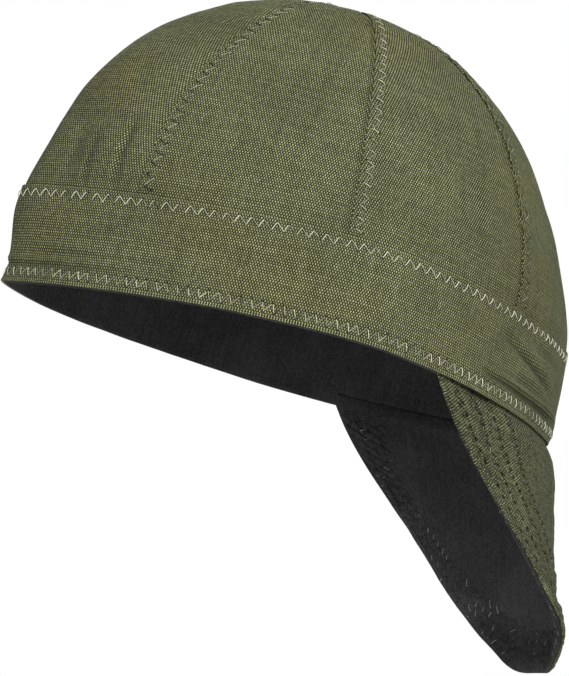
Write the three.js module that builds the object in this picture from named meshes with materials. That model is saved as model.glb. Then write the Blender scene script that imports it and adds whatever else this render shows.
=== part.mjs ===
import * as THREE from 'three';

// A six-panel cloth cap with a headband and a quilted neck flap at the back.
// Millimetres, +Z up. The head opening lies in the plane z = 0, front towards -Y, flap towards +Y.

// Overall sizes, over the panels' outer face; the headband lies outside it
const openingLength = 253;
const openingWidth = 148;
const widestBehindMiddle = 13.2;
const topBeforeMiddle = 7;
const crownHeight = 156.9;
const bandHeight = 41.3;
const rimWave = 1.8;

// Cloth and how the layers lie on each other
const layerGap = 0.3;
const panelCloth = 1;
const bandCloth = 1.2;
const liningCloth = 1;
const flapCloth = 1.2;

// Laps of the panels and the turned edges
const foldOverhang = 3.6;
const seamAllowance = 3;
const panelTuck = 8;
const hemHeight = 7.5;
const hemFlare = 1.2;
const liningAboveRim = 2;
const flapTuck = 6;

// Neck flap
const flapLength = 103.8;
const flapHalfWidth = 105.8;
const flapFlare = THREE.MathUtils.degToRad(23.2);
const flapSideFlare = THREE.MathUtils.degToRad(11.5);
const flapDraw = THREE.MathUtils.degToRad(6.2);

// Form of the plan: drawn together at the front and back ends below, nearly oval at the top
const sideRoundness = { below: 1.7, top: 2 };
const endRoundness = { below: 1.35, top: 1.9 };

// Form of the crown, seen from the front: straight above the band, then a round shoulder
const bandTopReach = 0.993;
const wallStraightness = 1.394;
const shoulderFullness = 2.451;

// Seams of the near side, as shares of the way round from the back, and how far each sweeps back
// towards the top; the far side mirrors them
const backSeam = { around: 0.107, sweep: 0 };
const sideSeam = { around: 0.255, sweep: 0.012 };
const frontSeam = { around: 0.399, sweep: 0.035 };

// Dents and folds. around: place round the rim, wide: half width, both as shares of the girth.
// height and tall (half height): shares of the crown's height. depth: share of the band's height.
// lean: rise along the way round, as share of the crown's height over share of the girth.
const folds = [
  { name: 'full front', around: 0.5, height: 0.663, wide: 0.13, tall: 0.293, depth: 0.082, lean: 0 },
  { name: 'drawn-in front rim', around: 0.5, height: 0.038, wide: 0.1, tall: 0.191, depth: -0.087, lean: 0 },
  { name: 'flat back', around: 0.02, height: 0.605, wide: 0.1, tall: 0.306, depth: -0.048, lean: 0 },
  { name: 'front hem crease', around: 0.452, height: 0.078, wide: 0.055, tall: 0.029, depth: -0.035, lean: 0 },
  { name: 'back hem crease', around: 0.078, height: 0.082, wide: 0.045, tall: 0.033, depth: -0.05, lean: 0 },
  { name: 'slanting crease', around: 0.11, height: 0.18, wide: 0.03, tall: 0.05, depth: -0.03, lean: -2.4 },
  { name: 'front panel fold', around: 0.443, height: 0.38, wide: 0.02, tall: 0.11, depth: 0.035, lean: 0 },
  { name: 'front panel hollow', around: 0.468, height: 0.4, wide: 0.018, tall: 0.13, depth: -0.03, lean: 0 },
  { name: 'back panel hollow', around: 0.045, height: 0.42, wide: 0.03, tall: 0.12, depth: -0.035, lean: 0 },
];

// How fine the facets are
const plainStations = 7;
const endPanelCrowding = 1.35;
const crownAngles = [0, 9, 18, 28, 38, 48, 58, 67, 75, 81.5, 86, 88.6, 89.7];
const flapRows = 6;

// Layers, as distances out from the crown's outer face
const lapLift = panelCloth + layerGap;
const panelFaces = { outer: 0, inner: -panelCloth };
const bandFaces = { outer: layerGap + bandCloth, upperInner: layerGap, lowerInner: -panelCloth };
const liningOuter = -panelCloth - layerGap;
const liningFaces = { outer: liningOuter, inner: liningOuter - liningCloth };
const flapOuter = bandFaces.lowerInner - layerGap;
const flapFaces = { outer: flapOuter, inner: flapOuter - flapCloth };
const flapLiningOuter = flapFaces.inner - layerGap;
const flapLiningFaces = { outer: flapLiningOuter, inner: flapLiningOuter - flapCloth };

const nearSeams = [backSeam, sideSeam, frontSeam];
const panelCount = 2 * nearSeams.length;
const endPanels = [2, 5];

function seamAt(number, rise) {
  const turn = Math.floor(number / panelCount);
  const within = number - turn * panelCount;
  const near = within < nearSeams.length;
  const seam = near ? nearSeams[within] : nearSeams[panelCount - 1 - within];
  const share = seam.around - seam.sweep * rise ** 3;
  return turn + (near ? share : 1 - share);
}

// The plan at full reach, measured along its own length so that a share of the girth finds a point
const plans = new Map();

function makePlan(rise) {
  const steps = 1440;
  const side = THREE.MathUtils.lerp(sideRoundness.below, sideRoundness.top, rise ** 0.7);
  const end = THREE.MathUtils.lerp(endRoundness.below, endRoundness.top, rise ** 0.7);
  const frontReach = openingLength / 2 + widestBehindMiddle;
  const backReach = openingLength / 2 - widestBehindMiddle;
  const points = [];
  const lengths = [0];
  for (let i = 0; i <= steps; i++) {
    const turn = (i / steps) * 2 * Math.PI;
    const across = Math.sin(turn);
    const along = Math.cos(turn);
    const reach = along > 0 ? backReach : frontReach;
    const x = (openingWidth / 2) * Math.sign(across) * Math.abs(across) ** (2 / end);
    const y = reach * Math.sign(along) * Math.abs(along) ** (2 / side) + widestBehindMiddle;
    points.push(new THREE.Vector2(x, y));
    if (i > 0) lengths.push(lengths[i - 1] + points[i].distanceTo(points[i - 1]));
  }
  return { points, lengths, girth: lengths[steps] };
}

function planOf(rise) {
  if (!plans.has(rise)) plans.set(rise, makePlan(rise));
  return plans.get(rise);
}

const girth = planOf(0).girth;

function planAt(share, rise) {
  const { points, lengths, girth: length } = planOf(rise);
  const wanted = (share - Math.floor(share)) * length;
  let low = 0;
  let high = lengths.length - 1;
  while (high - low > 1) {
    const middle = (low + high) >> 1;
    if (lengths[middle] <= wanted) low = middle;
    else high = middle;
  }
  const part = (wanted - lengths[low]) / (lengths[high] - lengths[low]);
  return points[low].clone().lerp(points[high], part);
}

// Levels 0 to 1 climb the band, levels 1 to 2 the crown up to its top
function rowAt(level) {
  if (level <= 1) {
    const reach = 1 - (1 - bandTopReach) * Math.max(level, 0) ** 1.5;
    return { reach, height: level * bandHeight, rise: 0, around: reach * girth };
  }
  const angle = Math.min(level - 1, 1) * (Math.PI / 2);
  const reach = bandTopReach * Math.abs(Math.cos(angle)) ** (2 / shoulderFullness);
  const rise = Math.sin(angle) ** (2 / wallStraightness);
  const height = THREE.MathUtils.lerp(bandHeight, crownHeight, rise);
  return { reach, height, rise, around: reach * planOf(rise).girth };
}

const levelOfHeight = (height) => height / bandHeight;
const levelOfAngle = (degrees) => 1 + degrees / 90;

function smoothPoint(share, level) {
  const { reach, height, rise } = rowAt(level);
  const top = new THREE.Vector2(0, -topBeforeMiddle);
  const place = planAt(share, rise).sub(top).multiplyScalar(reach).add(top);
  const wave = -rimWave * Math.cos(4 * Math.PI * share) * (1 - height / crownHeight);
  return new THREE.Vector3(place.x, place.y, height + wave);
}

function outwardAt(share, level) {
  const shareStep = 0.004;
  const levelStep = 0.01;
  const around = smoothPoint(share + shareStep, level).sub(smoothPoint(share - shareStep, level));
  const up = smoothPoint(share, level + levelStep).sub(smoothPoint(share, level - levelStep));
  return up.cross(around).normalize();
}

// A rounded bump that is 1 in the middle and 0 from its half size on
function bump(distance) {
  const t = Math.min(Math.abs(distance), 1);
  return (1 + Math.cos(Math.PI * t)) / 2;
}

function shareBetween(share, centre) {
  const apart = share - centre;
  return apart - Math.round(apart);
}

function foldDepth(share, height) {
  let depth = 0;
  for (const fold of folds) {
    const aside = shareBetween(share, fold.around);
    const above = height / crownHeight - fold.height - fold.lean * aside;
    depth += fold.depth * bandHeight * bump(aside / fold.wide) * bump(above / fold.tall);
  }
  return depth;
}

// The hem kicks out at the front
function flareAt(share, height) {
  const low = Math.max(1 - height / hemHeight, 0);
  return hemFlare * low * bump(shareBetween(share, 0.5) / 0.11);
}

function shellPoint(share, level, outward) {
  const { height } = rowAt(level);
  const away = outward + foldDepth(share, height) + flareAt(share, height);
  return smoothPoint(share, level).addScaledVector(outwardAt(share, level), away);
}

// Laps shrink towards the top, where the panels get narrow
function lapsAt(row) {
  const fullLap = foldOverhang + seamAllowance;
  const ease = Math.min(1, row.around / panelCount / (4 * fullLap));
  return {
    over: (foldOverhang * ease) / row.around,
    under: (seamAllowance * ease) / row.around,
    knee: ((seamAllowance + layerGap) * ease) / row.around,
  };
}

// The places of one panel's facets between its first and its last seam
function plainShares(panel, row) {
  const laps = lapsAt(row);
  const first = seamAt(panel, row.rise) + laps.over;
  const last = seamAt(panel + 1, row.rise) - laps.knee;
  const crowding = endPanels.includes(panel) ? endPanelCrowding : 1;
  const shares = [];
  for (let i = 1; i <= plainStations; i++) {
    const t = (2 * i) / (plainStations + 1) - 1;
    const placed = (1 + Math.sign(t) * Math.abs(t) ** crowding) / 2;
    shares.push(THREE.MathUtils.lerp(first, last, placed));
  }
  return shares;
}

const flat = (share) => ({ share, lift: 0 });
const lifted = (share) => ({ share, lift: 1 });

function panelColumns(panel, row) {
  const laps = lapsAt(row);
  const seam = seamAt(panel, row.rise);
  const nextSeam = seamAt(panel + 1, row.rise);
  return [
    ...[seam - laps.under, seam, seam + laps.over, ...plainShares(panel, row)].map(flat),
    ...[nextSeam - laps.knee, nextSeam, nextSeam + laps.over].map(lifted),
  ];
}

function bandColumns(row) {
  const laps = lapsAt(row);
  const columns = [];
  for (let panel = 0; panel < panelCount; panel++) {
    const seam = seamAt(panel, row.rise);
    columns.push(...[seam - laps.knee, seam, seam + laps.over].map(lifted));
    columns.push(...plainShares(panel, row).map(flat));
  }
  return columns;
}

function liningShares(row) {
  const shares = [];
  for (let panel = 0; panel < panelCount; panel++) {
    shares.push(seamAt(panel, row.rise), ...plainShares(panel, row));
  }
  return shares;
}

// Makes one closed body of a list of points and faces, with its faces pointing out
function closedBody(name, points, faces, material) {
  let volume = 0;
  for (const [a, b, c] of faces) {
    volume += points[a].dot(points[b].clone().cross(points[c])) / 6;
  }
  const ordered = volume > 0 ? faces : faces.map(([a, b, c]) => [a, c, b]);
  const geometry = new THREE.BufferGeometry();
  geometry.setAttribute('position', new THREE.Float32BufferAttribute(points.flatMap((p) => p.toArray()), 3));
  geometry.setIndex(ordered.flat());
  geometry.computeVertexNormals();
  const mesh = new THREE.Mesh(geometry, material);
  mesh.name = name;
  return mesh;
}

function addQuad(faces, a, b, c, d) {
  faces.push([a, b, c], [a, c, d]);
}

// A cloth sheet from its outer and inner points, row by row, with its four edges closed
function sheetBody(name, outer, inner, material) {
  const rows = outer.length;
  const columns = outer[0].length;
  const points = [...outer.flat(), ...inner.flat()];
  const out = (r, c) => r * columns + c;
  const back = (r, c) => rows * columns + out(r, c);
  const faces = [];
  for (let r = 0; r + 1 < rows; r++) {
    for (let c = 0; c + 1 < columns; c++) {
      addQuad(faces, out(r, c), out(r, c + 1), out(r + 1, c + 1), out(r + 1, c));
      addQuad(faces, back(r, c), back(r + 1, c), back(r + 1, c + 1), back(r, c + 1));
    }
    const end = columns - 1;
    addQuad(faces, out(r, 0), out(r + 1, 0), back(r + 1, 0), back(r, 0));
    addQuad(faces, out(r, end), back(r, end), back(r + 1, end), out(r + 1, end));
  }
  for (let c = 0; c + 1 < columns; c++) {
    addQuad(faces, out(0, c), back(0, c), back(0, c + 1), out(0, c + 1));
    addQuad(faces, out(rows - 1, c), out(rows - 1, c + 1), back(rows - 1, c + 1), back(rows - 1, c));
  }
  return closedBody(name, points, faces, material);
}

// A ring whose section is a closed loop: rows that go up outside, then rows that come down inside
function ringBody(name, up, down, material) {
  const rows = [...up, ...down];
  const columns = rows[0].length;
  const points = rows.flat();
  const faces = [];
  for (let r = 0; r < rows.length; r++) {
    const next = (r + 1) % rows.length;
    for (let c = 0; c < columns; c++) {
      const beside = (c + 1) % columns;
      const corners = [r * columns + c, r * columns + beside, next * columns + beside, next * columns + c];
      // The diagonals of all layers run alike, so that dented layers keep their gap
      if (r >= up.length) corners.push(corners.shift());
      addQuad(faces, ...corners);
    }
  }
  return closedBody(name, points, faces, material);
}

// A dome of rings that end in one top point outside and one inside
function domeBody(name, outer, inner, outerTop, innerTop, material) {
  const rows = outer.length;
  const columns = outer[0].length;
  const points = [...outer.flat(), ...inner.flat(), outerTop, innerTop];
  const out = (r, c) => r * columns + (c % columns);
  const back = (r, c) => rows * columns + out(r, c);
  const topOut = 2 * rows * columns;
  const faces = [];
  for (let c = 0; c < columns; c++) {
    for (let r = 0; r + 1 < rows; r++) {
      addQuad(faces, out(r, c), out(r, c + 1), out(r + 1, c + 1), out(r + 1, c));
      addQuad(faces, back(r, c), back(r + 1, c), back(r + 1, c + 1), back(r, c + 1));
    }
    addQuad(faces, out(0, c), back(0, c), back(0, c + 1), out(0, c + 1));
    faces.push([out(rows - 1, c), out(rows - 1, c + 1), topOut]);
    faces.push([back(rows - 1, c), topOut + 1, back(rows - 1, c + 1)]);
  }
  return closedBody(name, points, faces, material);
}

const oliveCanvas = new THREE.MeshStandardMaterial({ color: 0x6c6d50, roughness: 0.95, metalness: 0 });
const blackLining = new THREE.MeshStandardMaterial({ color: 0x242423, roughness: 0.9, metalness: 0 });

function crownPanel(panel) {
  const levels = [levelOfHeight(bandHeight - panelTuck), ...crownAngles.map(levelOfAngle)];
  const row = (level, face) => {
    const columns = panelColumns(panel, rowAt(level));
    return columns.map(({ share, lift }) => shellPoint(share, level, face + lift * lapLift));
  };
  const grid = (face) => levels.map((level) => row(level, face));
  return sheetBody(`crown_panel_${panel + 1}`, grid(panelFaces.outer), grid(panelFaces.inner), oliveCanvas);
}

// The ledge inside the headband on which the panels' feet stand, and the rows below it
const panelFoot = bandHeight - panelTuck;
const ledge = panelFoot - layerGap;
const bandRows = [hemHeight, 1.8 * hemHeight, 0.6 * panelFoot, ledge - bandCloth];

function headband() {
  // The section: up the outside, over the folded top edge and down the inside; over 1 goes over the laps
  const up = [
    { height: 0, out: layerGap + 0.3 * bandCloth, over: 0 },
    { height: 0.12 * hemHeight, out: bandFaces.outer, over: 0 },
    { height: 0.82 * hemHeight, out: bandFaces.outer, over: 0 },
    { height: hemHeight, out: layerGap + 0.6 * bandCloth, over: 0 },
    { height: 1.25 * hemHeight, out: bandFaces.outer, over: 0 },
    ...bandRows.slice(1, 3).map((height) => ({ height, out: bandFaces.outer, over: 0 })),
    { height: panelFoot, out: bandFaces.outer, over: 1 },
    { height: bandHeight, out: bandFaces.outer, over: 1 },
  ];
  const down = [
    { height: bandHeight, out: bandFaces.upperInner, over: 1 },
    { height: panelFoot, out: bandFaces.upperInner, over: 1 },
    { height: ledge, out: bandFaces.upperInner, over: 1 },
    ...bandRows.toReversed().map((height) => ({ height, out: bandFaces.lowerInner, over: 0 })),
    { height: 0, out: bandFaces.lowerInner, over: 0 },
  ];
  const ring = ({ height, out, over }) => {
    const level = levelOfHeight(height);
    const columns = bandColumns(rowAt(level));
    return columns.map(({ share, lift }) => shellPoint(share, level, out + lift * over * lapLift));
  };
  return ringBody('headband', up.map(ring), down.map(ring), oliveCanvas);
}

function crownLining() {
  const levels = [levelOfHeight(panelFoot + layerGap), ...crownAngles.slice(0, -1).map(levelOfAngle)];
  const ring = (level, out) => liningShares(rowAt(level)).map((share) => shellPoint(share, level, out));
  const outer = levels.map((level) => ring(level, liningFaces.outer));
  const inner = levels.map((level) => ring(level, liningFaces.inner));
  const top = (out) => new THREE.Vector3(0, -topBeforeMiddle, crownHeight + out);
  return domeBody('crown_lining', outer, inner, top(liningFaces.outer), top(liningFaces.inner), blackLining);
}

// Over the neck flap the lining starts above the flap's tucked edge
function bandLining() {
  const flapShare = flapHalfWidth / girth;
  const startOf = (share) => {
    const overFlap = Math.abs(shareBetween(share, 0)) < flapShare + 0.03;
    return overFlap ? flapTuck + 2 * layerGap : liningAboveRim;
  };
  const ring = (heightOf, out) => {
    const shares = liningShares(rowAt(levelOfHeight(heightOf(0))));
    return shares.map((share) => shellPoint(share, levelOfHeight(heightOf(share)), out));
  };
  const heights = [startOf, ...[...bandRows, panelFoot].map((height) => () => height)];
  const face = (out) => heights.map((heightOf) => ring(heightOf, out));
  return ringBody('band_lining', face(liningFaces.outer), face(liningFaces.inner).toReversed(), blackLining);
}

// The flap hangs from the rim: it flares back, draws in at its sides and curls a little at its tip
function flapPoint(share, drop, outward) {
  const aside = (share * girth) / flapHalfWidth;
  const down = drop / flapLength;
  const rim = shellPoint(share, 0, outward);
  const flare = flapFlare + flapSideFlare * aside ** 2;
  const draw = -flapDraw * aside;
  const x = Math.sin(draw) * drop + flapLength * down ** 2 * aside * (0.511 - 0.532 * aside ** 2);
  const swing = 0.41 * aside ** 2 * down ** 2 - 0.156 * down ** 2 + 0.038 * down ** 3;
  const y = Math.sin(flare) * Math.cos(draw) * drop + flapLength * swing;
  const z = -Math.cos(flare) * Math.cos(draw) * drop;
  return rim.add(new THREE.Vector3(x, y, z));
}

// The flap takes the band's places behind it, and more towards its ends, where its outline turns
function flapColumns() {
  const half = flapHalfWidth / girth;
  const evenEnd = 0.76;
  const row = rowAt(0);
  const beside = plainShares(0, row);
  const behind = plainShares(panelCount - 1, row).map((share) => share - 1);
  const inner = [...behind, ...beside].filter((share) => Math.abs(share) < evenEnd * half);
  const ends = [0.82, 0.9, 0.95, 0.985, 1].map((part) => part * half);
  const seam = seamAt(0, 0);
  return [...inner, seam, -seam, ...ends, ...ends.map((share) => -share)].sort((a, b) => a - b);
}

function flapBody(name, faces, material) {
  const outline = (share) => {
    const aside = Math.min(Math.abs(share * girth) / flapHalfWidth, 1);
    return flapLength * (1 - aside ** 1.62) ** (1 / 2.55);
  };
  const rows = [-1];
  for (let i = 0; i <= flapRows; i++) rows.push(i / flapRows);
  const columns = flapColumns();
  const grid = (out) => rows.map((row) => columns.map((share) => {
    if (row < 0) return shellPoint(share, levelOfHeight(flapTuck), out);
    return flapPoint(share, row * outline(share), out);
  }));
  return sheetBody(name, grid(faces.outer), grid(faces.inner), material);
}

const cap = new THREE.Group();
for (let panel = 0; panel < panelCount; panel++) cap.add(crownPanel(panel));
cap.add(headband());
cap.add(crownLining());
cap.add(bandLining());
cap.add(flapBody('neck_flap_outer', flapFaces, oliveCanvas));
cap.add(flapBody('neck_flap_lining', flapLiningFaces, blackLining));

export default cap;
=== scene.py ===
import math

import bmesh
import bpy
import numpy as np
from mathutils import Matrix


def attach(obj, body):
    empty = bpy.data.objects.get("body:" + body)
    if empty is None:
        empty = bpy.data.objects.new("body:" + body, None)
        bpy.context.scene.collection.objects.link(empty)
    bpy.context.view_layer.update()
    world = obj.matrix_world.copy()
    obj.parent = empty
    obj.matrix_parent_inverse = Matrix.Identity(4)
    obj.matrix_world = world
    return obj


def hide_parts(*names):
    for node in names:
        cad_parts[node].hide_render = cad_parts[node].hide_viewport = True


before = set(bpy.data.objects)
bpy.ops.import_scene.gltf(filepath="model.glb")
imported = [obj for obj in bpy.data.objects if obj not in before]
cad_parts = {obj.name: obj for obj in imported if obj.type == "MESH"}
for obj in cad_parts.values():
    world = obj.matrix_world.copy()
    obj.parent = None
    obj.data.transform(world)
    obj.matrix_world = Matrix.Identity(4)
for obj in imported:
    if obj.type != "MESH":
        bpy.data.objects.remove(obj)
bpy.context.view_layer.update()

# Welding cap: six lapped crown panels, a hemmed headband, black lining and a quilted neck flap.
# Metres, in the solids' own frame: head opening in z = 0, front towards -Y, flap towards +Y.
# A place on the cap is a share of the way round from the back, and a level: 0 to 1 climbs the
# headband, 1 to 2 the crown.

form = {
    "openingLength": 0.253,
    "openingWidth": 0.148,
    "widestBehindMiddle": 0.0132,
    "topBeforeMiddle": 0.007,
    "crownHeight": 0.1569,
    "bandHeight": 0.0413,
    "rimWave": 0.0018,
    "sideRoundness": (1.7, 2.0),  # at the band, at the top
    "endRoundness": (1.35, 1.9),
    "bandTopReach": 0.993,
    "wallStraightness": 1.394,
    "shoulderFullness": 2.451,
    "nearSeams": [(0.107, 0.0), (0.255, 0.012), (0.399, 0.035)],  # share, sweep back at the top
}

# Dents that all layers share: share, height, half width (share), half height, depth, lean per share
folds = [
    (0.500, 0.10400, 0.130, 0.04600, 0.00339, 0.0),
    (0.500, 0.00600, 0.100, 0.03000, -0.00359, 0.0),
    (0.020, 0.09490, 0.100, 0.04800, -0.00198, 0.0),
    (0.452, 0.01224, 0.055, 0.00455, -0.00145, 0.0),
    (0.078, 0.01287, 0.045, 0.00518, -0.00207, 0.0),
    (0.110, 0.02824, 0.030, 0.00785, -0.00124, -0.3766),
    (0.443, 0.05962, 0.020, 0.01726, 0.00145, 0.0),
    (0.468, 0.06276, 0.018, 0.02040, -0.00124, 0.0),
    (0.045, 0.06590, 0.030, 0.01883, -0.00145, 0.0),
]

# Narrow creases: share and height of both ends, half width, depth, ridge beside it
creases = [
    (0.530, 0.0084, 0.385, 0.0080, 0.0012, 0.0011, 0.7),
    (0.145, 0.0090, 0.002, 0.0082, 0.0012, 0.0026, 0.8),
    (0.130, 0.0290, 0.030, 0.0160, 0.0018, 0.0014, 0.8),
    (0.100, 0.0350, 0.030, 0.0280, 0.0024, 0.0006, 0.7),
    (0.446, 0.0400, 0.4510, 0.0740, 0.0015, 0.0009, 0.8),
    (0.4225, 0.0400, 0.4280, 0.0790, 0.0016, 0.0010, 0.8),
    (0.464, 0.0430, 0.467, 0.0680, 0.0016, 0.0006, 0.7),
    (0.395, 0.0320, 0.440, 0.0180, 0.0026, 0.0003, 0.7),
]

# The cloth dips beside each lap's folded edge: ahead of the seam, half width, depth
seamDips = {"ahead": 0.0047, "wide": [0.0010, 0.0007, 0.0007], "deep": [0.0010, 0.0008, 0.0001]}

ridgeAside = 1.8  # from a crease to the ridge beside it, in half widths
darkestDepth = 0.0013  # a crease this deep gets the darkest painted shade
hemKick = {"deep": 0.0012, "tall": 0.0075, "halfWidth": 0.11}  # the hem kicks out in front
unevenness = {"depth": 0.00024, "shortest": 0.014, "longest": 0.060, "waves": 40, "seed": 4}
ripples = {"depth": 0.00005, "shortest": 0.005, "longest": 0.014, "waves": 40, "seed": 8, "upright": 0.22}
panelCount = 2 * len(form["nearSeams"])
planStore = {}


def smoothStep(value, low, high):
    t = np.clip((value - low) / (high - low), 0, 1)
    return t * t * (3 - 2 * t)


def bump(distance):
    return (1 + np.cos(np.pi * np.minimum(np.abs(distance), 1))) / 2


def shareApart(share, centre):
    apart = share - centre
    return apart - np.round(apart)


def unit(vectors):
    return vectors / np.linalg.norm(vectors, axis=-1, keepdims=True)


def planOf(rise):
    key = round(float(rise), 7)
    if key not in planStore:
        ease = key ** 0.7
        side = form["sideRoundness"][0] + (form["sideRoundness"][1] - form["sideRoundness"][0]) * ease
        end = form["endRoundness"][0] + (form["endRoundness"][1] - form["endRoundness"][0]) * ease
        turn = np.linspace(0, 2 * np.pi, 2881)
        across, along = np.sin(turn), np.cos(turn)
        half, shift = form["openingLength"] / 2, form["widestBehindMiddle"]
        reach = np.where(along > 0, half - shift, half + shift)
        x = form["openingWidth"] / 2 * np.sign(across) * np.abs(across) ** (2 / end)
        y = reach * np.sign(along) * np.abs(along) ** (2 / side) + shift
        lengths = np.concatenate([[0], np.cumsum(np.hypot(np.diff(x), np.diff(y)))])
        planStore[key] = (x, y, lengths)
    return planStore[key]


girth = planOf(0)[2][-1]


def rowAt(level):
    if level <= 1:
        reach = 1 - (1 - form["bandTopReach"]) * max(level, 0) ** 1.5
        return reach, level * form["bandHeight"], 0.0
    angle = min(level - 1, 1) * math.pi / 2
    reach = form["bandTopReach"] * abs(math.cos(angle)) ** (2 / form["shoulderFullness"])
    rise = math.sin(angle) ** (2 / form["wallStraightness"])
    return reach, form["bandHeight"] + (form["crownHeight"] - form["bandHeight"]) * rise, rise


def aroundAt(level):
    reach, _, rise = rowAt(level)
    return reach * planOf(rise)[2][-1]


def seamAt(number, rise):
    turns, within = divmod(number, panelCount)
    near = within < len(form["nearSeams"])
    around, sweep = form["nearSeams"][within if near else panelCount - 1 - within]
    share = around - sweep * rise ** 3
    return turns + (share if near else 1 - share)


def smoothRow(shares, level):
    reach, height, rise = rowAt(level)
    x, y, lengths = planOf(rise)
    wanted = (shares - np.floor(shares)) * lengths[-1]
    top = -form["topBeforeMiddle"]
    wave = -form["rimWave"] * np.cos(4 * np.pi * shares) * (1 - height / form["crownHeight"])
    return np.stack([
        np.interp(wanted, lengths, x) * reach,
        (np.interp(wanted, lengths, y) - top) * reach + top,
        height + wave,
    ], 1)


def outwardRow(shares, level):
    around = smoothRow(shares + 0.004, level) - smoothRow(shares - 0.004, level)
    up = smoothRow(shares, level + 0.01) - smoothRow(shares, level - 0.01)
    return unit(np.cross(up, around))


def makeWaves(kind):
    rng = np.random.default_rng(kind["seed"])
    directions = unit(rng.normal(size=(kind["waves"], 3)))
    lengths = np.exp(rng.uniform(math.log(kind["shortest"]), math.log(kind["longest"]), kind["waves"]))
    phases = rng.uniform(0, 2 * np.pi, kind["waves"])
    return directions * (2 * np.pi / lengths)[:, None], phases, lengths / kind["longest"]


def wavesAt(points, waves):
    vectors, phases, sizes = waves
    return np.sin(points @ vectors.T + phases) @ sizes / np.sqrt((sizes ** 2).sum() / 2)


clothWaves = makeWaves(unevenness)
rippleWaves = makeWaves(ripples)


def seamDip(shares, level):
    rise, around = rowAt(level)[2], aroundAt(level)
    fade = smoothStep(level, 0.88, 1.0) * smoothStep(around, 0.03, 0.12)
    depth = np.zeros(len(shares))
    for number in range(panelCount if fade > 0 else 0):
        within = min(number, panelCount - 1 - number)
        aside = shareApart(shares, seamAt(number, rise)) * around - seamDips["ahead"]
        depth -= seamDips["deep"][within] * fade * np.exp(-(aside / seamDips["wide"][within]) ** 2)
    return depth


def creaseDepth(shares, level):
    height = rowAt(level)[1]
    depth = seamDip(shares, level)
    for share, low, endShare, high, wide, deep, ridge in creases:
        runX, runY = shareApart(endShare, share) * girth, high - low
        length = math.hypot(runX, runY)
        px, py = shareApart(shares, share) * girth, height - low
        along = (px * runX + py * runY) / length ** 2
        across = (px * runY - py * runX) / length / wide
        fade = bump(np.clip(2 * along - 1, -1, 1)) ** 0.5 * (np.abs(2 * along - 1) < 1)
        depth += deep * fade * (ridge * np.exp(-(across - ridgeAside) ** 2) - np.exp(-across ** 2))
    return depth


# Painted shade in the creases and seam dips: 0 none, -1 darkest
def creaseShadeAt(shares, level):
    return -np.clip(-creaseDepth(shares, level) / darkestDepth, 0, 1)


def reliefAt(shares, level, points):
    height = rowAt(level)[1]
    depth = unevenness["depth"] * wavesAt(points, clothWaves)
    depth += ripples["depth"] * wavesAt(points * [1, 1, ripples["upright"]], rippleWaves)
    for share, middle, wide, tall, deep, lean in folds:
        aside = shareApart(shares, share)
        depth += deep * bump(aside / wide) * bump((height - middle - lean * aside) / tall)
    low = max(1 - height / hemKick["tall"], 0)
    kick = hemKick["deep"] * low * bump(shareApart(shares, 0.5) / hemKick["halfWidth"])
    return depth + creaseDepth(shares, level) + kick


def shellRow(shares, level, outward):
    points = smoothRow(shares, level)
    away = outward + reliefAt(shares, level, points)
    return points + outwardRow(shares, level) * np.reshape(away, (-1, 1))


def newObject(name, data):
    made = bpy.data.objects.new(name, data)
    bpy.context.scene.collection.objects.link(made)
    return made


# Makes a closed cloth body from a grid of points; a closed direction repeats its first row or column
def clothBody(name, points, clothUv, seamUv, wearAndShade, closeRows, closeColumns, material):
    rows, columns = points.shape[:2]
    vertexRows = rows - 1 if closeRows else rows
    vertexColumns = columns - 1 if closeColumns else columns
    row, column = np.meshgrid(np.arange(rows - 1), np.arange(columns - 1), indexing="ij")
    corners = [(row, column), (row, column + 1), (row + 1, column + 1), (row + 1, column)]
    flat = points[:vertexRows, :vertexColumns].reshape(-1, 3)
    index = np.stack([(r % vertexRows) * vertexColumns + c % vertexColumns for r, c in corners], -1)
    faces = index.reshape(-1, 4)
    a, b, c, d = (flat[faces[:, k]] for k in range(4))
    volume = (np.cross(c - a, d - b) * (a + b + c + d)).sum()
    order = [0, 1, 2, 3] if volume > 0 else [3, 2, 1, 0]
    mesh = bpy.data.meshes.new(name)
    mesh.from_pydata(flat, [], faces[:, order])
    for label, grid in (("clothUv", clothUv), ("seamUv", seamUv)):
        values = np.stack([grid[r, c] for r, c in corners], 2).reshape(-1, 4, 2)[:, order]
        mesh.uv_layers.new(name=label).data.foreach_set("uv", values.astype(np.float32).ravel())
    # Above 0 this attribute is real wear that pales the cloth, below 0 it is painted shade
    worn = mesh.attributes.new("wearAndShade", "FLOAT", "POINT")
    worn.data.foreach_set("value", wearAndShade[:vertexRows, :vertexColumns].astype(np.float32).ravel())
    work = bmesh.new()
    work.from_mesh(mesh)
    bmesh.ops.remove_doubles(work, verts=work.verts, dist=2e-6)
    bmesh.ops.dissolve_degenerate(work, edges=work.edges, dist=1e-7)
    work.to_mesh(mesh)
    work.free()
    mesh.shade_smooth()
    mesh.materials.append(material)
    return newObject(name, mesh)


def repeatEnds(values):
    return np.concatenate([values[:1], values, values[-1:]])


def repeatFirst(values, axis):
    return np.concatenate([values, values.take([0], axis)], axis)


# Levels at even steps up the cloth
def evenLevels(first, last, step):
    fine = np.linspace(first, last, 1500)
    path = np.array([smoothRow(np.array([0.25, 0.5]), level) for level in fine])
    steps = np.linalg.norm(np.diff(path, axis=0), axis=2).mean(1)
    along = np.concatenate([[0], np.cumsum(steps)])
    count = int(round(along[-1] / step))
    return np.interp(np.linspace(0, along[-1], count + 1), along, fine)


# How far up the cloth a level lies, along a line of given shares
def climb(levels, shareOf):
    path = np.array([smoothRow(np.array([shareOf(rowAt(level)[2])]), level)[0] for level in levels])
    return np.concatenate([[0], np.cumsum(np.linalg.norm(np.diff(path, axis=0), axis=1))])


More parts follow.
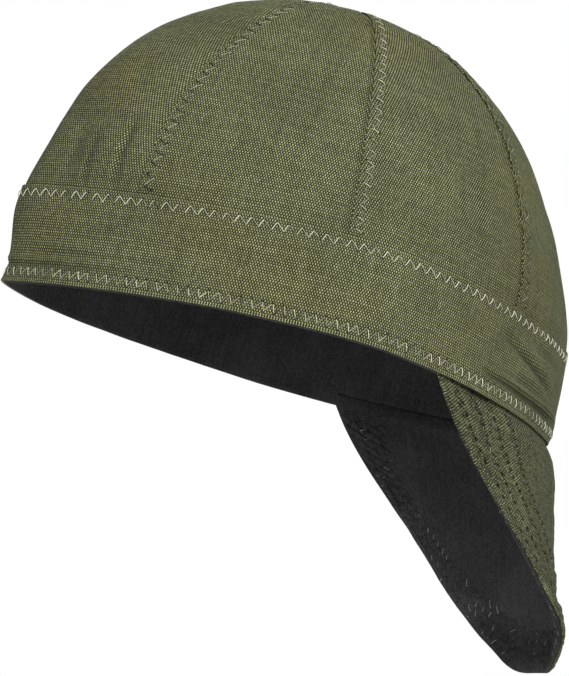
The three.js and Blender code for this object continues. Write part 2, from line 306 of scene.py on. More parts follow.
stitches = {
    "period": 0.0051, "halfWidth": 0.00175, "lead": 0.30, "puckerDepth": 0.00013, "puckerReach": 0.0055,
    "jitter": 0.00009, "steepProud": (0.8, 1.3), "slowProud": (0.35, 0.9),
}


# Shader helpers

def addNode(tree, kind, values=None, **settings):
    node = tree.nodes.new(kind)
    for key, value in settings.items():
        setattr(node, key, value)
    for key, value in (values or {}).items():
        if isinstance(value, bpy.types.NodeSocket):
            tree.links.new(value, node.inputs[key])
        else:
            node.inputs[key].default_value = value
    return node


def calc(tree, operation, *values, clamp=False):
    return addNode(tree, "ShaderNodeMath", dict(enumerate(values)), operation=operation,
                   use_clamp=clamp).outputs[0]


def ramp(tree, value, low, high, toLow=0.0, toHigh=1.0):
    return addNode(tree, "ShaderNodeMapRange", {"Value": value, "From Min": low, "From Max": high,
                   "To Min": toLow, "To Max": toHigh}, interpolation_type="SMOOTHSTEP").outputs[0]


def mixColour(tree, factor, first, second, blend="MIX"):
    return addNode(tree, "ShaderNodeMix", {0: factor, 6: first, 7: second}, data_type="RGBA",
                   blend_type=blend).outputs[2]


def noiseAt(tree, place, scale, detail=2.0):
    return addNode(tree, "ShaderNodeTexNoise", {"Vector": place, "Scale": scale, "Detail": detail}).outputs[0]


def useGroup(tree, group, values):
    return addNode(tree, "ShaderNodeGroup", values, node_tree=group).outputs


def newGroup(name, inputs, outputs):
    tree = bpy.data.node_groups.new(name, "ShaderNodeTree")
    for label, kind, value in inputs:
        socket = tree.interface.new_socket(label, in_out="INPUT", socket_type=kind)
        if value is not None:
            socket.default_value = value
    for label, kind in outputs:
        tree.interface.new_socket(label, in_out="OUTPUT", socket_type=kind)
    return tree, tree.nodes.new("NodeGroupInput").outputs, tree.nodes.new("NodeGroupOutput").inputs


scalar, vector = "NodeSocketFloat", "NodeSocketVector"


# Plain weave: upright warp yarns over and under level weft yarns
def makeWeaveGroup():
    tree, given, result = newGroup("plainWeave", [
        ("Cloth", vector, None), ("Warp Pitch", scalar, 0.00056), ("Weft Pitch", scalar, 0.00107),
        ("Wander", scalar, 0.2), ("Weft Level", scalar, 0.4),
    ], [("Height", scalar), ("Tone", scalar)])
    drift = addNode(tree, "ShaderNodeTexNoise", {"Vector": given["Cloth"], "Scale": 160.0, "Detail": 1.0})
    aside = addNode(tree, "ShaderNodeSeparateXYZ", {0: drift.outputs["Color"]}).outputs
    place = addNode(tree, "ShaderNodeSeparateXYZ", {0: given["Cloth"]}).outputs
    x = calc(tree, "DIVIDE", place[0], given["Warp Pitch"])
    y = calc(tree, "DIVIDE", place[1], given["Weft Pitch"])
    x = calc(tree, "ADD", x, calc(tree, "MULTIPLY", calc(tree, "SUBTRACT", aside[0], 0.5), given["Wander"]))
    y = calc(tree, "ADD", y, calc(tree, "MULTIPLY", calc(tree, "SUBTRACT", aside[1], 0.5), given["Wander"]))
    column, line = calc(tree, "FLOOR", x), calc(tree, "FLOOR", y)
    overWeft = calc(tree, "FLOORED_MODULO", calc(tree, "ADD", column, line), 2.0)

    def arched(value, start):
        centred = calc(tree, "SUBTRACT", calc(tree, "SUBTRACT", value, start), 0.5)
        return calc(tree, "COSINE", calc(tree, "MULTIPLY", centred, math.pi))

    crest = calc(tree, "POWER", calc(tree, "MULTIPLY", arched(x, column), arched(y, line), clamp=True), 0.7)
    level = calc(tree, "MULTIPLY_ADD", overWeft, calc(tree, "SUBTRACT", 1.0, given["Weft Level"]),
                 given["Weft Level"])
    height = calc(tree, "MULTIPLY", crest, level)
    cell = addNode(tree, "ShaderNodeCombineXYZ", {0: column, 1: line})
    cellTone = addNode(tree, "ShaderNodeTexWhiteNoise", {"Vector": cell.outputs[0]}, noise_dimensions="2D")
    warpTone = addNode(tree, "ShaderNodeTexWhiteNoise", {"W": column}, noise_dimensions="1D")
    weftTone = addNode(tree, "ShaderNodeTexWhiteNoise", {"W": line}, noise_dimensions="1D")
    yarn = calc(tree, "ADD", calc(tree, "MULTIPLY", warpTone.outputs[0], 0.5),
                calc(tree, "MULTIPLY", weftTone.outputs[0], 0.5))
    tone = calc(tree, "ADD", calc(tree, "MULTIPLY", cellTone.outputs[0], 0.55),
                calc(tree, "MULTIPLY", yarn, 0.45))
    tree.links.new(height, result["Height"])
    tree.links.new(tone, result["Tone"])
    return tree


# Slow changes of tone: patches, and thicker yarns that run up or round the cloth
def makeToneGroup():
    tree, given, result = newGroup("clothTone", [
        ("Cloth", vector, None), ("Place", vector, None), ("Patch Scale", scalar, 28.0),
        ("Slub Width", scalar, 0.0006), ("Slub Length", scalar, 0.02), ("Level Share", scalar, 0.5),
    ], [("Patches", scalar), ("Slubs", scalar)])
    patches = addNode(tree, "ShaderNodeTexNoise", {"Vector": given["Place"], "Scale": given["Patch Scale"],
                      "Detail": 4.0, "Roughness": 0.6})
    place = addNode(tree, "ShaderNodeSeparateXYZ", {0: given["Cloth"]}).outputs
    streaks = []
    for upright in (0, 1):
        wide = calc(tree, "DIVIDE", place[upright], given["Slub Width"])
        long = calc(tree, "DIVIDE", place[1 - upright], given["Slub Length"])
        spot = addNode(tree, "ShaderNodeCombineXYZ", {0: wide, 1: long, 2: 7.0 * upright})
        streaks.append(noiseAt(tree, spot.outputs[0], 1.0, 1.0))
    slubs = calc(tree, "MULTIPLY_ADD", calc(tree, "SUBTRACT", streaks[1], streaks[0]), given["Level Share"],
                 streaks[0])
    tree.links.new(patches.outputs[0], result["Patches"])
    tree.links.new(slubs, result["Slubs"])
    return tree


# Zigzag stitching: the groove under each thread and the needle holes at its turns.
# Seam x counts stitch periods, seam y is the distance from the row over half its width.
# The steep leg takes the share called lead of each period.
def makeStitchGroup():
    tree, given, result = newGroup("stitchDents", [
        ("Seam", vector, None), ("Groove Width", scalar, 0.3), ("Hole Size", scalar, 0.26),
        ("Period Ratio", scalar, 2.9), ("Lead", scalar, stitches["lead"]),
    ], [("Groove", scalar), ("Hole", scalar)])
    place = addNode(tree, "ShaderNodeSeparateXYZ", {0: given["Seam"]}).outputs
    turn = calc(tree, "FRACT", place[0])
    rest = calc(tree, "SUBTRACT", 1.0, given["Lead"])
    steep = calc(tree, "MULTIPLY_ADD", calc(tree, "DIVIDE", turn, given["Lead"]), 2.0, -1.0)
    past = calc(tree, "DIVIDE", calc(tree, "SUBTRACT", turn, given["Lead"]), rest)
    slow = calc(tree, "MULTIPLY_ADD", past, -2.0, 1.0)
    onSteep = calc(tree, "LESS_THAN", turn, given["Lead"])
    apart = calc(tree, "ABSOLUTE", calc(tree, "SUBTRACT", place[1], calc(tree, "MINIMUM", steep, slow)))
    apart = calc(tree, "MULTIPLY", apart, calc(tree, "MULTIPLY_ADD", onSteep, -0.45, 1.0))
    within = ramp(tree, calc(tree, "ABSOLUTE", place[1]), 1.25, 0.95)
    groove = calc(tree, "MULTIPLY", ramp(tree, apart, given["Groove Width"], 0.0), within)
    holes = []
    for start, side in ((0.0, -1.0), (given["Lead"], 1.0)):
        along = calc(tree, "SUBTRACT", place[0], start)
        along = calc(tree, "SUBTRACT", along, calc(tree, "ROUND", along))
        along = calc(tree, "MULTIPLY", along, given["Period Ratio"])
        across = calc(tree, "SUBTRACT", place[1], side)
        squares = calc(tree, "ADD", calc(tree, "MULTIPLY", along, along),
                       calc(tree, "MULTIPLY", across, across))
        holes.append(ramp(tree, calc(tree, "SQRT", squares), given["Hole Size"], 0.0))
    tree.links.new(groove, result["Groove"])
    tree.links.new(calc(tree, "MAXIMUM", *holes), result["Hole"])
    return tree


weaveGroup, toneGroup, stitchGroup = makeWeaveGroup(), makeToneGroup(), makeStitchGroup()


def newMaterial(name, roughness, sheenWeight, sheenTint, specular=0.25):
    material = bpy.data.materials.new(name)
    material.use_nodes = True
    tree = material.node_tree
    surface = tree.nodes["Principled BSDF"]
    surface.inputs["Roughness"].default_value = roughness
    surface.inputs["Sheen Weight"].default_value = sheenWeight
    surface.inputs["Sheen Roughness"].default_value = 0.45
    surface.inputs["Sheen Tint"].default_value = sheenTint
    surface.inputs["Specular IOR Level"].default_value = specular
    return material, tree, surface


# Where a cloth's looks lie: along its yarns, along its sewing, and on the whole cap
def clothPlaces(tree):
    cloth = addNode(tree, "ShaderNodeUVMap", uv_map="clothUv").outputs[0]
    seam = addNode(tree, "ShaderNodeUVMap", uv_map="seamUv").outputs[0]
    return cloth, seam, addNode(tree, "ShaderNodeTexCoord").outputs["Object"]


# The cloth's own fine bumps, then the dents of its sewing
def clothBumps(tree, surface, height, strength, distance, sunk, grooveDepth):
    fine = addNode(tree, "ShaderNodeBump", {"Height": height, "Strength": strength, "Distance": distance})
    coarse = addNode(tree, "ShaderNodeBump", {"Height": calc(tree, "MULTIPLY", sunk, -1.0), "Strength": 0.8,
                     "Distance": grooveDepth, "Normal": fine.outputs[0]})
    tree.links.new(coarse.outputs[0], surface.inputs["Normal"])


canvas = {
    "gap": (0.010, 0.011, 0.005, 1),
    "yarn": (0.190, 0.202, 0.096, 1),
    "pale": (0.310, 0.322, 0.195, 1),
    "brown": (1.06, 0.97, 0.84, 1),
    "hole": (0.006, 0.006, 0.003, 1),
}

# How a canvas is cut and sewn: yarn pitches round and up the cloth, how far its yarns wander, their
# lowest and highest relief, and the sewing's needle holes and grooves; shade is a painted shade over all of
# it
plainCut = {"pitches": (0.00056, 0.00107), "wander": 0.4, "relief": (0.76, 1.25), "holeSize": 0.42,
            "grooveDepth": 0.0004, "shade": None}
acrossCut = {"pitches": (0.000856, 0.0005824), "wander": 0.45, "relief": (0.45, 1.50), "holeSize": 0.95,
             "grooveDepth": 0.0008, "shade": (0.78, 0.78, 0.82, 1)}


def makeCanvas(name, cut):
    material, tree, surface = newMaterial(name, 0.95, 0.04, (0.75, 0.78, 0.6, 1), 0.15)
    cloth, seam, place = clothPlaces(tree)
    wearAndShade = addNode(tree, "ShaderNodeAttribute", attribute_name="wearAndShade").outputs["Fac"]
    weave = useGroup(tree, weaveGroup, {"Cloth": cloth, "Warp Pitch": cut["pitches"][0],
                     "Weft Pitch": cut["pitches"][1], "Wander": cut["wander"], "Weft Level": 0.30})
    tone = useGroup(tree, toneGroup, {"Cloth": cloth, "Place": place})
    dents = useGroup(tree, stitchGroup, {"Seam": seam, "Hole Size": cut["holeSize"]})
    crest = calc(tree, "MULTIPLY", weave["Height"], ramp(tree, weave["Tone"], 0.1, 0.9, *cut["relief"]))
    base = mixColour(tree, ramp(tree, crest, 0.12, 0.74), canvas["gap"], canvas["yarn"])
    slubbed = calc(tree, "ADD", ramp(tree, tone["Slubs"], 0.42, 0.68, -0.1, 0.35), crest)
    base = mixColour(tree, ramp(tree, slubbed, 0.8, 1.35), base, canvas["pale"])
    shade = ramp(tree, tone["Patches"], 0.3, 0.7, 0.88, 1.1)
    grey = addNode(tree, "ShaderNodeCombineColor", {0: shade, 1: shade, 2: shade}).outputs[0]
    base = mixColour(tree, 1.0, base, grey, "MULTIPLY")
    faded = noiseAt(tree, place, 17.0)
    base = mixColour(tree, ramp(tree, faded, 0.5, 0.75, 0.0, 0.8), base,
                     mixColour(tree, 1.0, base, canvas["brown"], "MULTIPLY"))
    # Painted shade: the flap's canvas is darkened all over
    if cut["shade"]:
        base = mixColour(tree, 1.0, base, cut["shade"], "MULTIPLY")
    # Above 0 the attribute is real wear: it pales the yarn crests
    worn = calc(tree, "MULTIPLY", calc(tree, "MULTIPLY", wearAndShade, 0.25, clamp=True), ramp(tree, crest, 0.2, 0.8))
    base = mixColour(tree, worn, base, canvas["pale"])
    # Below 0 the attribute is painted shade: it darkens the cloth towards the gap colour
    base = mixColour(tree, calc(tree, "MULTIPLY", wearAndShade, -0.62, clamp=True), base, canvas["gap"])
    # Painted shade in the stitch grooves and the needle holes
    hole = calc(tree, "MULTIPLY", calc(tree, "MULTIPLY", dents["Hole"], 1.5, clamp=True), 0.95)
    base = mixColour(tree, calc(tree, "MULTIPLY", dents["Groove"], 0.38), base, canvas["gap"])
    base = mixColour(tree, hole, base, canvas["hole"])
    tree.links.new(base, surface.inputs["Base Color"])
    height = calc(tree, "MULTIPLY_ADD", noiseAt(tree, place, 2600.0), 0.25, weave["Height"])
    sunk = calc(tree, "MAXIMUM", dents["Groove"], calc(tree, "MULTIPLY", dents["Hole"], 1.6))
    clothBumps(tree, surface, height, 0.55, 0.00018, sunk, cut["grooveDepth"])
    return material


lining = {
    "dark": (0.0145, 0.0145, 0.0145, 1),
    "light": (0.050, 0.050, 0.050, 1),
    "lint": (0.16, 0.16, 0.15, 1),
    "warpPitch": 0.00042,
    "weftPitch": 0.00046,
}


def makeLining(name, grooveDepth, lintShare):
    material, tree, surface = newMaterial(name, 0.9, 0.02, (0.6, 0.6, 0.6, 1), 0.15)
    cloth, seam, place = clothPlaces(tree)
    weave = useGroup(tree, weaveGroup, {"Cloth": cloth, "Warp Pitch": lining["warpPitch"],
                     "Weft Pitch": lining["weftPitch"], "Wander": 0.4, "Weft Level": 0.7})
    tone = useGroup(tree, toneGroup, {"Cloth": cloth, "Place": place, "Slub Width": 0.0011,
                    "Slub Length": 0.03, "Patch Scale": 18.0, "Level Share": 0.0})
    dents = useGroup(tree, stitchGroup, {"Seam": seam, "Groove Width": 0.4})
    light = calc(tree, "MULTIPLY", ramp(tree, tone["Slubs"], 0.35, 0.7), 0.16)
    light = calc(tree, "ADD", light, ramp(tree, tone["Patches"], 0.35, 0.7, -0.1, 0.4))
    light = calc(tree, "MULTIPLY_ADD", weave["Height"], 0.45, light)
    light = calc(tree, "ADD", light, ramp(tree, noiseAt(tree, place, 900.0), 0.3, 0.75, -0.15, 0.35))
    base = mixColour(tree, calc(tree, "MAXIMUM", calc(tree, "MINIMUM", light, 1.0), 0.0),
                     lining["dark"], lining["light"])
    specks = addNode(tree, "ShaderNodeTexVoronoi", {"Vector": place, "Scale": 170.0, "Randomness": 1.0})
    chosen = addNode(tree, "ShaderNodeSeparateColor", {0: specks.outputs["Color"]}).outputs[0]
    lint = calc(tree, "MULTIPLY", ramp(tree, specks.outputs["Distance"], 0.07, 0.02),
                calc(tree, "GREATER_THAN", chosen, 1.0 - lintShare))
    base = mixColour(tree, calc(tree, "MULTIPLY", lint, 0.6), base, lining["lint"])
    tree.links.new(base, surface.inputs["Base Color"])
    height = calc(tree, "ADD", calc(tree, "MULTIPLY", weave["Height"], 0.7), tone["Slubs"])
    sunk = calc(tree, "MAXIMUM", dents["Groove"], dents["Hole"])
    clothBumps(tree, surface, height, 0.4, 0.0002, sunk, grooveDepth)
    return material


# A thread mixes its dark and light colour by its shade attribute: painted light and shade on each leg, varied
# by its twist
def makeThread(name, dark, light):
    material, tree, surface = newMaterial(name, 0.6, 0.1, (0.9, 0.9, 0.85, 1), 0.4)
    place = addNode(tree, "ShaderNodeTexCoord").outputs["Object"]
    shade = addNode(tree, "ShaderNodeAttribute", attribute_name="shade").outputs["Fac"]
    twist = noiseAt(tree, place, 1900.0)
    tone = calc(tree, "MULTIPLY", shade, ramp(tree, twist, 0.3, 0.7, 0.75, 1.15), clamp=True)
    tree.links.new(mixColour(tree, tone, dark, light), surface.inputs["Base Color"])
    bumps = addNode(tree, "ShaderNodeBump", {"Height": twist, "Strength": 0.5, "Distance": 0.0001})
    tree.links.new(bumps.outputs[0], surface.inputs["Normal"])
    return material


oliveCanvas = makeCanvas("oliveCanvas", plainCut)
quiltedShadedCanvas = makeCanvas("quiltedShadedCanvas", acrossCut)
blackLining = makeLining("blackLining", 0.0003, 0.012)
quiltedLining = makeLining("quiltedLining", 0.0006, 0.05)
oliveThread = makeThread("oliveThread", (0.030, 0.031, 0.015, 1), (0.56, 0.57, 0.42, 1))
blackThread = makeThread("blackThread", (0.010, 0.010, 0.010, 1), (0.42, 0.42, 0.41, 1))
print("materials ready")


# Crown panels

panels = {
    "cloth": 0.001, "step": 0.0013, "tuck": 0.008, "edgePoints": 5, "crowding": 0.08,
    "levels": (0.86, 1 + 89.9 / 90), "over": 0.0036, "under": 0.003, "easedGore": 0.0264,
    "overBend": (-0.0085, -0.0034), "underBend": (0.0062, 0.0037),
    "clearance": 0.0001, "foldBehind": 0.004, "foldPucker": 0.6, "scallopFrom": 0.65,
    "laps": [  # thickness, lift and scallop of the lap's cover
        (0.0006, 0.0003, 0.00032),
        (0.0004, 0.00012, 0.00008),
        (0.0003, 0.00005, 0.0),
    ],
}
panelFoot = form["bandHeight"] - panels["tuck"]
crownLevels = evenLevels(*panels["levels"], panels["step"])
crownLevels = np.concatenate([[panelFoot / form["bandHeight"]], crownLevels])


# How far a panel reaches over one seam and under the other, in shares, and how much of a full lap
# there is room for
def lapsAt(level):
    around = aroundAt(level)
    ease = min(1, around / panelCount / panels["easedGore"])
    return panels["over"] * ease / around, panels["under"] * ease / around, ease


def pucker(along, across, seed):
    rng = np.random.default_rng(seed)
    turns = along / stitches["period"]
    wobble = np.interp(turns, np.arange(400), rng.uniform(0.3, 1.4, 400))
    return -stitches["puckerDepth"] * wobble * np.exp(-(across / stitches["puckerReach"]) ** 2) * (
        1 + np.cos(2 * np.pi * turns))


def lapOf(number):
    within = number % panelCount
    return panels["laps"][within if within < len(panels["laps"]) else panelCount - 1 - within]


def crownPanel(number):
    name = f"crownPanel{number + 1}"
    firstClimb = climb(crownLevels, lambda rise: seamAt(number, rise))
    lastClimb = climb(crownLevels, lambda rise: seamAt(number + 1, rise))
    middleClimb = climb(crownLevels, lambda rise: (seamAt(number, rise) + seamAt(number + 1, rise)) / 2)
    width = (seamAt(number + 1, 0) - seamAt(number, 0)) * girth
    count = int(width / panels["step"])
    even = np.linspace(0, 1, count)
    crowded = even - panels["crowding"] * np.sin(2 * np.pi * even)
    turn = np.linspace(0, np.pi, panels["edgePoints"] + 2)[1:-1]
    lastThick, lastLift, scallop = lapOf(number + 1)
    firstThick, firstLift = lapOf(number)[:2]
    firstDip = firstThick + panels["clearance"] - firstLift
    grid, clothUv, seamUv, wearAndShade = [], [], [], []
    for r, level in enumerate(crownLevels):
        rise, around = rowAt(level)[2], aroundAt(level)
        over, under, ease = lapsAt(level)
        first, last = seamAt(number, rise), seamAt(number + 1, rise)
        phase = lastClimb[r] / stitches["period"] - panels["scallopFrom"]
        waver = scallop * math.cos(2 * math.pi * phase) * ease
        scale = around / max(ease, 0.05)

        def facesAt(shares):
            overLap = smoothStep((shares - last) * scale, *panels["overBend"])
            underLap = smoothStep((shares - first) * scale, *panels["underBend"])
            outer = lastLift * overLap - firstDip * ease * underLap
            inner = -panels["cloth"] + (lastLift - lastThick + panels["cloth"]) * overLap
            return outer, inner

        start, end = first - under, last + over + waver / around
        startOuter, startInner = (float(face[0]) for face in facesAt(np.array([start])))
        endOuter, endInner = (float(face[0]) for face in facesAt(np.array([end])))
        startHalf, endHalf = (startOuter - startInner) / 2, (endOuter - endInner) / 2
        start += startHalf * ease / around
        end -= endHalf * ease / around
        outer = start + (end - start) * crowded
        highEdge = end + endHalf * ease / around * np.sin(turn)
        lowEdge = start - startHalf * ease / around * np.sin(turn)
        shares = np.concatenate([outer, highEdge, outer[::-1], lowEdge])
        outerFace, innerFace = facesAt(outer)
        acrossLast, acrossFirst = (shares - last) * around, (shares - first) * around
        dents = pucker(lastClimb[r], acrossLast, number)
        dents += panels["foldPucker"] * pucker(firstClimb[r], acrossFirst - panels["foldBehind"], number + 9)
        dents *= ease
        dents[count:] = 0
        depth = np.concatenate([outerFace, endOuter - endHalf + endHalf * np.cos(turn),
                                innerFace[::-1], startOuter - startHalf - startHalf * np.cos(turn)])
        grid.append(shellRow(shares, level, depth + dents))
        centre = (first + last) / 2
        clothUv.append(np.stack([(shares - centre) * around, np.full(len(shares), middleClimb[r])], 1))
        seamUv.append(np.stack([np.full(len(shares), lastClimb[r] / stitches["period"]),
                                np.clip(acrossLast / stitches["halfWidth"], -8, 8)], 1))
        outerFaces = depth > -panels["cloth"] / 2
        # Painted shade in the creases, on the outer faces only
        wearAndShade.append(creaseShadeAt(shares, level) * outerFaces)
    grid, clothUv, seamUv, wearAndShade = (np.array(a) for a in (grid, clothUv, seamUv, wearAndShade))
    inner = np.concatenate([np.arange(count), np.full(len(turn), count - 1), np.arange(count)[::-1],
                            np.zeros(len(turn), int)])
    partner = np.arange(count)[::-1] + count + len(turn)
    ends = [((row[:count] + row[partner]) / 2)[inner] for row in (grid[0], grid[-1])]
    grid = np.concatenate([ends[0][None], grid, ends[1][None]])
    maps = [repeatEnds(values) for values in (clothUv, seamUv, wearAndShade)]
    closed = [repeatFirst(values, 1) for values in (grid, *maps)]
    return clothBody(name, *closed, False, True, oliveCanvas)


capPanels = [crownPanel(number) for number in range(panelCount)]
print("crown panels ready")


# Headband

band = {
    "outer": 0.0011, "upperInner": 0.0003, "lowerInner": -0.001, "step": 0.0013, "rowStep": 0.0011,
    "taper": 0.0005, "taperHeight": 0.006, "backThin": 0.4, "backThinHalf": 0.15,
    "lapLift": 0.0004, "lapAhead": (-0.010, -0.0034), "lapBehind": (0.0075, 0.0034),
    "seamBelowTop": 0.0037, "seamSink": (0.00016, 0.0022),  # sinks and ridge: depth, half height
    "hemRow": 0.0044, "hemPeriod": 0.0043, "hemHalfWidth": 0.0019, "hemSink": (0.0003, 0.0026),
    "hemEdge": 0.0085, "hemRidge": (0.00022, 0.0014), "hemPucker": 0.8, "hemTop": 0.55,
    "wornFoot": 0.0014, "wornTop": 0.0008,
}
seamRow = form["bandHeight"] - band["seamBelowTop"]
seamPeriods = round(girth / stitches["period"])
hemPeriods = round(girth / band["hemPeriod"])


# How far the band lies over a lap: 1 on it, 0 away from it
def lapCover(shares, level):
    around = aroundAt(level)
    cover = np.zeros(len(shares))
    for number in range(panelCount):
        aside = shareApart(shares, seamAt(number, 0)) * around
        ahead, behind = smoothStep(aside, *band["lapAhead"]), smoothStep(aside, *band["lapBehind"])
        cover = np.maximum(cover, ahead * behind)
    return cover


def roundHump(height, middle, size, half):
    return size * np.exp(-((height - middle) / half) ** 2)


def bandProfile(height):
    taper = band["taper"] * (1 - smoothStep(height, 0.0, band["taperHeight"]))
    sunk = taper + roundHump(height, band["hemRow"], *band["hemSink"])
    ridge = roundHump(height, band["hemEdge"], *band["hemRidge"])
    return ridge - sunk - roundHump(height, seamRow, *band["seamSink"])


# The hem is thinner where the flap hangs below it
def bandOut(shares, height, out):
    low = 1 - smoothStep(height, 0.0, band["taperHeight"])
    thin = band["backThin"] * low * bump(shareApart(shares, 0) / band["backThinHalf"])
    return band["lowerInner"] + (out - band["lowerInner"]) * (1 - thin)


def makeHeadband():
    count = int(girth / band["step"])
    shares = np.linspace(0, 1, count + 1)
    top = form["bandHeight"]
    foot = (band["outer"] - band["taper"] - band["lowerInner"]) / 2
    head = (band["outer"] - band["upperInner"]) / 2
    roll = np.linspace(0, np.pi, 9)[1:-1]
    section = []  # height, distance out, share of the lap's lift
    for height in np.linspace(foot, top - head, int((top - foot - head) / band["rowStep"]) + 1):
        over = smoothStep(height, panelFoot - 0.004, panelFoot + 0.001)
        section.append((height, band["outer"] + bandProfile(height), over))
    for turn in roll:
        out = band["outer"] - head + head * math.cos(turn)
        section.append((top - head + head * math.sin(turn), out, 1.0))
    for height in np.linspace(top - head, panelFoot - 0.0003, 6):
        section.append((height, band["upperInner"], 1.0))
    for height in np.linspace(panelFoot - 0.0018, foot, 14):
        section.append((height, band["lowerInner"], 0.0))
    for turn in roll:
        section.append((foot - foot * math.sin(turn), band["lowerInner"] + foot - foot * math.cos(turn), 0.0))
    grid, clothUv, seamUv, wearAndShade = [], [], [], []
    path = 0.0
    for k, (height, out, over) in enumerate(section):
        level = height / top
        lift = over * band["lapLift"] * lapCover(shares, level) if over > 0 else 0.0
        dents = 0.0
        if k < len(section) - 30:  # not on the inner face
            dents = pucker(shares * seamPeriods * stitches["period"], height - seamRow, 31)
            dents = dents + band["hemPucker"] * pucker(shares * hemPeriods * stitches["period"],
                                                       height - band["hemRow"], 32)
        grid.append(shellRow(shares, level, bandOut(shares, height, out) + lift + dents))
        if k:
            path += math.hypot(height - section[k - 1][0], out - section[k - 1][1])
        clothUv.append(np.stack([shares * girth, np.full(len(shares), path)], 1))
        if height < band["hemTop"] * top:
            periods, across = hemPeriods, (height - band["hemRow"]) / band["hemHalfWidth"]
        else:
            periods, across = seamPeriods, (seamRow - height) / stitches["halfWidth"]
        hidden = k > len(section) - 36  # the rolled top, the inner face and the foot
        side = -9.0 if hidden else min(max(across, -9), 9)
        seamUv.append(np.stack([shares * periods, np.full(len(shares), side)], 1))
        rolled = roundHump(max(height, 0.0), 0.0, 1.0, band["wornFoot"])
        rolled += roundHump(height, top, 0.8, band["wornTop"])
        worn = 0.0 if hidden and k < len(section) - len(roll) else min(rolled, 1.0)
        # Real wear on the rolled edges, and painted shade in the creases
        wearAndShade.append(np.full(len(shares), worn) + (0.0 if hidden else creaseShadeAt(shares, level)))
    grid, clothUv, seamUv, wearAndShade = (np.array(a) for a in (grid, clothUv, seamUv, wearAndShade))
    onward = np.stack([shares * girth, np.full(len(shares), path + 0.0003)], 1)
    clothUv = np.concatenate([clothUv, onward[None]], 0)
    closed = [repeatFirst(values, 0) for values in (grid, seamUv, wearAndShade)]
    return clothBody("headbandCloth", closed[0], clothUv, *closed[1:], True, True, oliveCanvas)


headband = makeHeadband()
print("headband ready")


# Lining

inside = {
    "outer": -0.0013, "inner": -0.0023, "step": 0.0022, "topLevel": 1 + 89.4 / 90,
    "belowRim": -0.0002, "overFlap": 0.0046, "footEdge": 0.0002, "rows": 18,
}


# Points and maps of a lining, from its section of levels and distances out
def liningGrids(section, levelsOf=None):
    count = int(girth / inside["step"])
    shares = np.linspace(0, 1, count + 1)
    grid, clothUv = [], []
    path = 0.0
    previous = None
    for level, out in section:
        if levelsOf is None:
            row = shellRow(shares, level, out)
        else:
            row = np.empty((len(shares), 3))
            levels = levelsOf(shares, level)
            for value in np.unique(levels):
                chosen = levels == value
                row[chosen] = shellRow(shares[chosen], value, out)
        if previous is not None:
            path += np.linalg.norm(row - previous, axis=1).mean()
        previous = row
        grid.append(row)
        clothUv.append(np.stack([shares * max(aroundAt(level), 0.02), np.full(len(shares), path)], 1))
    grid, clothUv = np.array(grid), np.array(clothUv)
    seamUv = np.full(clothUv.shape, 9.0)
    return grid, clothUv, seamUv, np.zeros(grid.shape[:2])


# The rounded foot between a lining's outer and inner face
def rolledFoot(level, half, edge, count):
    section = []
    for turn in np.linspace(0, np.pi, count)[1:-1]:
        out = inside["outer"] - half + half * math.cos(turn)
        section.append((level - edge * math.sin(turn) / form["bandHeight"], out))
    return section


def makeCrownLining():
    half = (inside["outer"] - inside["inner"]) / 2
    levels = evenLevels((panelFoot + 0.0003) / form["bandHeight"], inside["topLevel"], inside["step"])
    section = [(level, inside["outer"]) for level in levels[::-1]]
    section += rolledFoot(levels[0], half, half, 5)
    section += [(level, inside["inner"]) for level in levels]
    points, *maps = liningGrids(section)
    tops = []
    for out in (inside["outer"], inside["inner"]):
        apex = [0, -form["topBeforeMiddle"], form["crownHeight"] + out]
        tops.append(np.tile(apex, (1, points.shape[1], 1)))
    points = np.concatenate([tops[0], points, tops[1]])
    return clothBody("crownLining", points, *map(repeatEnds, maps), False, True, blackLining)


flap = {
    "length": 0.1038, "halfWidth": 0.1058, "flare": math.radians(23.2), "sideFlare": math.radians(11.5),
    "draw": math.radians(6.2), "sway": 0.053, "cloth": 0.0012, "gap": 0.0003, "outer": -0.0013,
    "tuck": 0.006, "tuckThin": 0.67, "rimThin": 0.4, "rimThinDrop": 0.014,
    "edgeThin": 0.6, "edgeThinReach": 0.0035, "rows": 110, "columns": 150,
    "cornerRoundness": 1.62, "tipRoundness": 2.55, "tipFull": 0.0033, "tipAside": -0.15, "tipHalf": 0.105,
    "spread": (0.511, 0.532), "swing": (0.41, 0.156, 0.038), "swell": 0.0008,
    "slitDepth": 0.0014, "slitShare": 0.135, "slitHalf": 0.036, "shadowHalf": 0.045,
    "sewnFrom": 0.006, "amid": (0, 0.03), "straying": 0.0012,
    "lobes": [  # waves down the middle: place and half height as shares of the length, depth
        (0.13, 0.16, 0.0018),
        (0.55, 0.28, -0.0015),
        (0.82, 0.12, 0.0020),
        (1.00, 0.10, -0.0028),
    ],
}
outerQuilt = {
    "rows": 4, "first": 0.0095, "gap": 0.0118, "period": 0.0054, "halfWidth": 0.0013, "depth": 0.0009,
}
innerQuilt = {
    "rows": 4, "first": 0.0040, "gap": 0.0052, "period": 0.0047, "halfWidth": 0.0017, "depth": 0.0006,
}
quiltLumps = {"shortest": 0.003, "longest": 0.009, "waves": 30, "seed": 21}
quiltWaves = makeWaves(quiltLumps)


